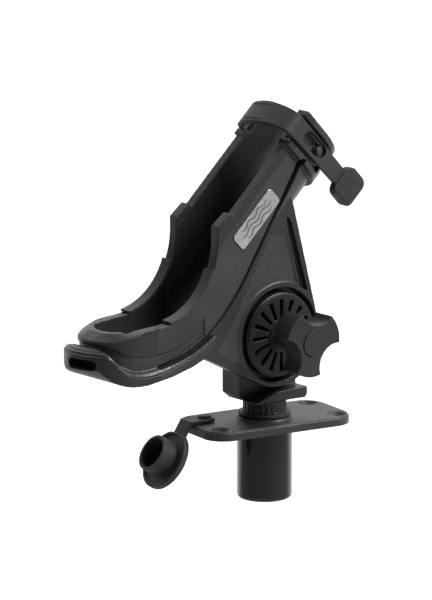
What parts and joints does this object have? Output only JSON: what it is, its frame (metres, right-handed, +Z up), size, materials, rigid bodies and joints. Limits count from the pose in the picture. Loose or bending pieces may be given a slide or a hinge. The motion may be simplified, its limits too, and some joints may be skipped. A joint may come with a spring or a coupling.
{
  "type": "rod holder",
  "caption": "Swivelling fishing rod holder with an open trough, locking strap, tilt clutch and knob, on a flush deck plate with socket tube and tethered cap.",
  "frame": {"origin": "centre of the deck plate's underside, on the axis of the socket tube", "axes": "+X along the plate away from the tethered cap, +Y across it away from the knob, +Z up along the post"},
  "size_m": [0.197, 0.0825, 0.2342],
  "materials": {
    "nylon": "glass-filled nylon, satin on rims and finely textured on flat faces",
    "gloss_nylon": "smooth, slightly glossy",
    "rubber": "matt moulded rubber",
    "stainless": "stainless steel",
    "brass": "turned",
    "badge_metal": "brushed silver"
  },
  "bodies": {
    "mount": {"deck_plate": "nylon", "socket_tube": "gloss_nylon", "tether_button": "rubber", "tether_root": "rubber"},
    "cap": {"cap_tether": "rubber", "cap_plug": "rubber"},
    "ring": {"post_ring": "rubber"},
    "post": {"swivel_post": "nylon", "pivot_bolt": "stainless", "bolt_washer": "stainless"},
    "cradle": {"cradle": "nylon", "clutch_disc": "nylon", "near_pad": "rubber", "far_pad": "rubber", "badge": "badge_metal", "strap_pin": "stainless"},
    "strap_arch": {"strap_arch": "rubber"},
    "strap_tail": {"strap_tail": "rubber"},
    "knob": {"knob_washer": "nylon", "knob": "nylon", "knob_insert": "brass", "knob_cap": "nylon"}
  },
  "joints": [
    {"name": "cap_swing", "type": "hinge", "parent": "mount", "child": "cap", "pos_m": [-0.0491, 0.0065, 0.00675], "axis": [0, 1, 0], "range_deg": [-15, 60], "stiffness_Nm_per_rad": 0.003, "springref_deg": 11.46},
    {"name": "post_lift", "type": "slide", "parent": "mount", "child": "ring", "axis": [0, 0, 1], "range_m": [0, 0.045]},
    {"name": "post_swivel", "type": "hinge", "parent": "ring", "child": "post", "pos_m": [0, 0, 0], "axis": [0, 0, 1], "continuous": true},
    {"name": "cradle_tilt", "type": "hinge", "parent": "post", "child": "cradle", "pos_m": [0, 0, 0.0566], "axis": [0.1478, -0.989, 0], "range_deg": [-45, 20]},
    {"name": "knob_turn", "type": "hinge", "parent": "post", "child": "knob", "pos_m": [0, 0, 0.0566], "axis": [0.1478, -0.989, 0], "continuous": true},
    {"name": "strap_open", "type": "hinge", "parent": "cradle", "child": "strap_arch", "pos_m": [0.00064, 0.02972, 0.1683], "axis": [-0.7233, -0.1081, -0.682], "range_deg": [0, 77]},
    {"name": "strap_peel", "type": "hinge", "parent": "strap_arch", "child": "strap_tail", "pos_m": [0.00367, -0.01917, 0.17284], "axis": [-0.7233, -0.1081, -0.682], "range_deg": [0, 110]}
  ],
  "couplings": [
    {"joint": "strap_open", "follows": "strap_peel", "ratio": 0.7}
  ]
}
